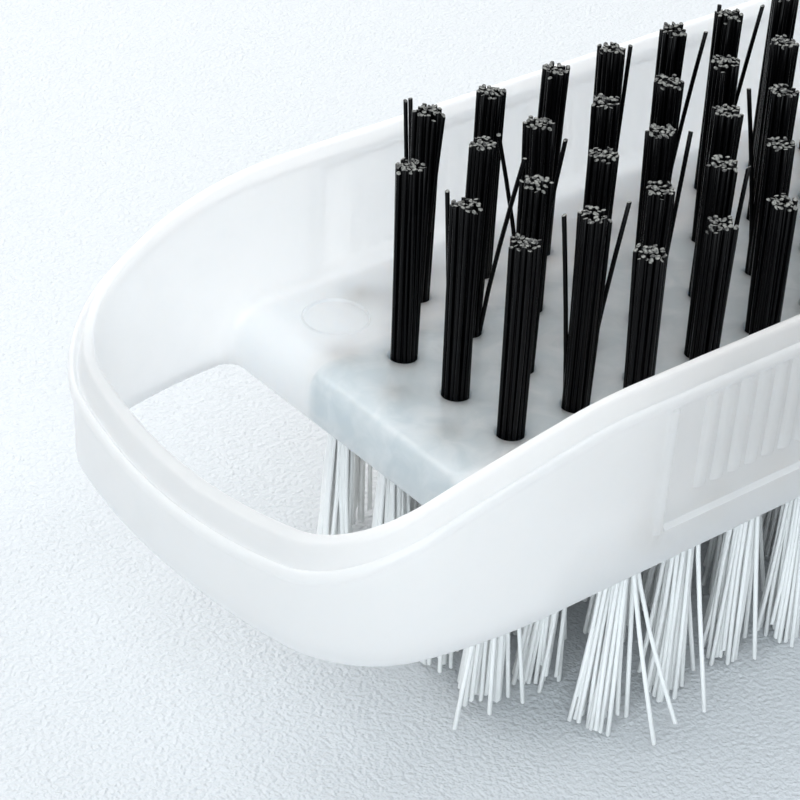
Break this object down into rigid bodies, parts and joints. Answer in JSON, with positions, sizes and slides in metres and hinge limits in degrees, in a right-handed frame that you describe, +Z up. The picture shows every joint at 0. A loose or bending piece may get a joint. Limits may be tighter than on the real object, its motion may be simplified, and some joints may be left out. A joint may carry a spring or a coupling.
{
  "type": "nail brush",
  "caption": "Double-sided nail brush: frosted band frame with open end bows and ribbed grips, stiff dark tufts above the deck and soft pale tufts below.",
  "frame": {"origin": "on the plane of the lower bristle tips, under the middle of the brush", "axes": "+X along the brush towards one bow (both ends are alike), +Y across it, +Z up, out of the stiff upper bristles"},
  "size_m": [0.0976, 0.037, 0.0344],
  "materials": {
    "frosted_plastic": "natural translucent polypropylene, fine satin moulded surface, bluish white in shade",
    "upper_bristle": "black nylon filament, glossy sides, rough pale cut tips",
    "lower_bristle": "natural milky white filament, soft gloss",
    "anchor_wire": "flat drawn steel wire, cut to length"
  },
  "bodies": {
    "root": {"brush_frame": "frosted_plastic", "upper_tuft_row_01": "upper_bristle", "upper_tuft_row_02": "upper_bristle", "upper_tuft_row_03": "upper_bristle", "upper_tuft_row_04": "upper_bristle", "upper_tuft_row_05": "upper_bristle", "upper_tuft_row_06": "upper_bristle", "upper_tuft_row_07": "upper_bristle", "upper_tuft_row_08": "upper_bristle", "upper_tuft_row_09": "upper_bristle", "upper_tuft_row_10": "upper_bristle", "lower_tuft_row_01": "lower_bristle", "lower_tuft_row_02": "lower_bristle", "lower_tuft_row_03": "lower_bristle", "lower_tuft_row_04": "lower_bristle", "lower_tuft_row_05": "lower_bristle", "lower_tuft_row_06": "lower_bristle", "lower_tuft_row_07": "lower_bristle", "lower_tuft_row_08": "lower_bristle", "lower_tuft_row_09": "lower_bristle", "lower_tuft_row_10": "lower_bristle", "lower_tuft_row_11": "lower_bristle", "upper_anchor_wires": "anchor_wire", "lower_anchor_wires": "anchor_wire"}
  },
  "joints": []
}
